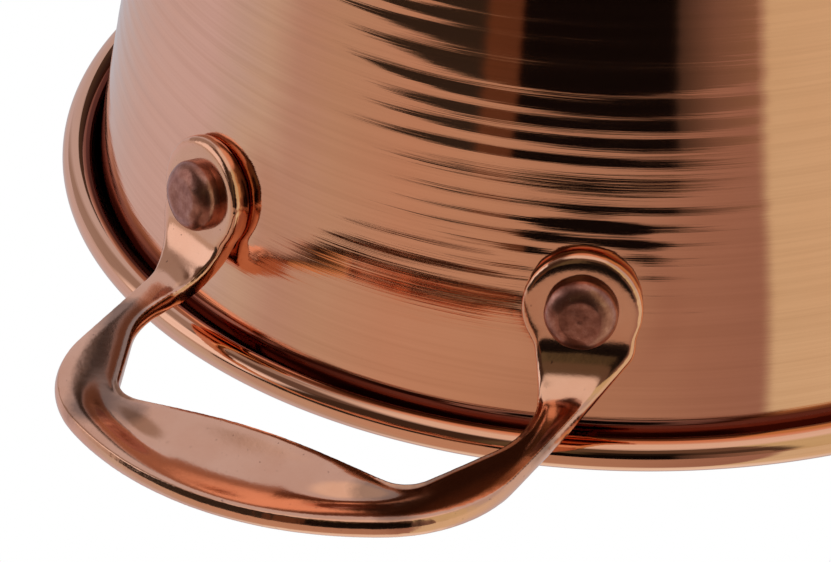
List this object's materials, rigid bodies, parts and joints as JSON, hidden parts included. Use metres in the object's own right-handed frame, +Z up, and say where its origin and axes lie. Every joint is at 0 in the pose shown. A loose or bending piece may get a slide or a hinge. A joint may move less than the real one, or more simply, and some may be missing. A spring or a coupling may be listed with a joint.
{
  "type": "jam pan",
  "caption": "Round copper pan with a leaning wall, a rolled rim and two cast loop handles on rivets.",
  "frame": {"origin": "middle of the flat base, on the surface the pan stands on", "axes": "+Z up out of the open pan, +X and -X through the middles of the two handles"},
  "size_m": [0.406, 0.28, 0.125],
  "materials": {
    "pan_copper": "polished copper with fine turned lines",
    "handle_copper": "hand-polished cast copper alloy, slightly worn",
    "rivet_copper": "dull copper, as forged",
    "wire_steel": "plain drawn wire, hidden in the rim"
  },
  "bodies": {
    "root": {"pan_shell": "pan_copper", "rim_wire": "wire_steel", "right_handle": "handle_copper", "right_handle_front_rivet": "rivet_copper", "right_handle_back_rivet": "rivet_copper", "left_handle": "handle_copper", "left_handle_front_rivet": "rivet_copper", "left_handle_back_rivet": "rivet_copper"}
  },
  "joints": []
}
